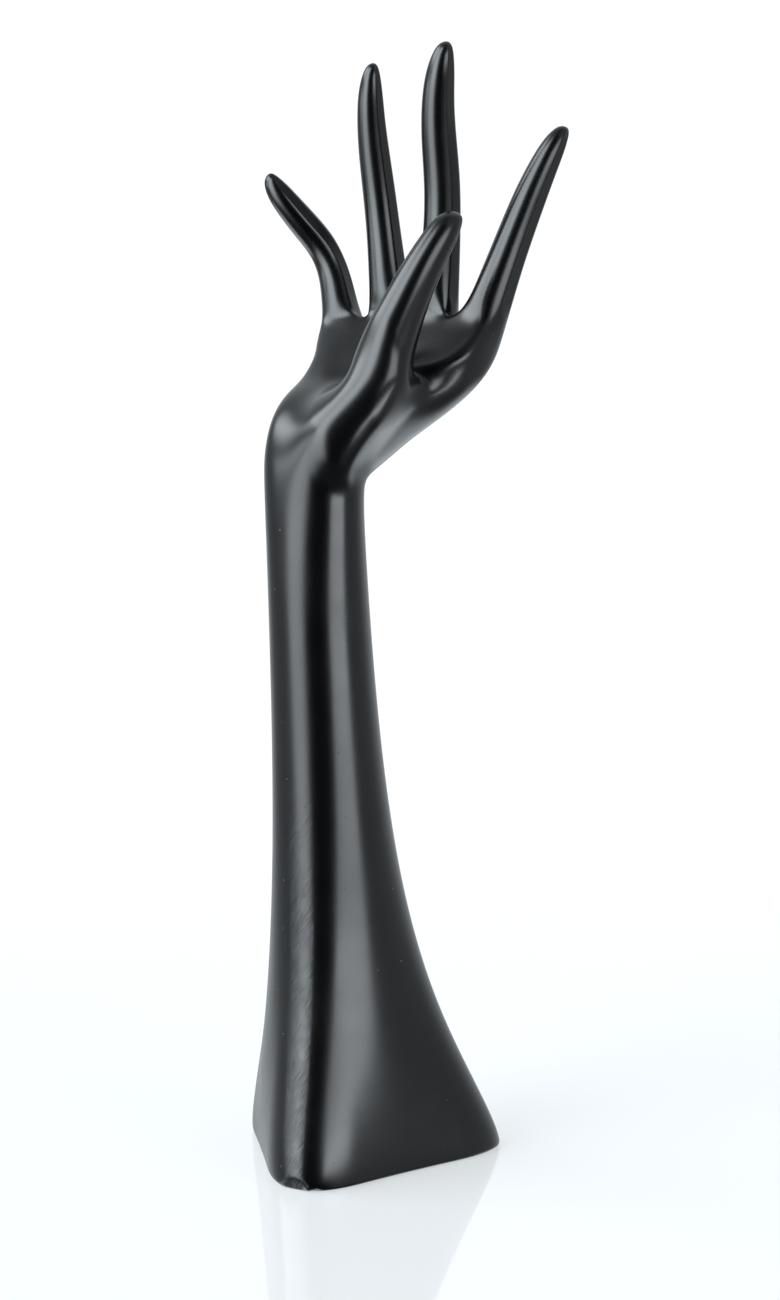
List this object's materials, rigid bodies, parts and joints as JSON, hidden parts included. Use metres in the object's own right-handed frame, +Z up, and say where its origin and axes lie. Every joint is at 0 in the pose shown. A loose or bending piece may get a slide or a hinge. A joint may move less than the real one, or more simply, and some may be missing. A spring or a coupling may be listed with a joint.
{
  "type": "hand jewelry display stand",
  "caption": "Slender right hand with spread fingers on a forearm that flares into a weighted, felt-padded three-cornered foot; holds rings, bracelets and necklaces.",
  "frame": {"origin": "middle of the felt underside, on the surface the stand rests on", "axes": "+Z is up from the foot to the fingertips, -Y faces the viewer of the picture and +X is to the viewer's right"},
  "size_m": [0.1095, 0.1052, 0.381],
  "materials": {
    "satin_black": "satin black, lightly sanded along the front ridge",
    "fibreboard": "raw pressed board",
    "iron_weight": "as cast",
    "felt": "pressed felt"
  },
  "bodies": {
    "root": {"hand_casting": "satin_black", "base_plate": "fibreboard", "ballast_block": "iron_weight", "felt_pad": "felt"}
  },
  "joints": []
}
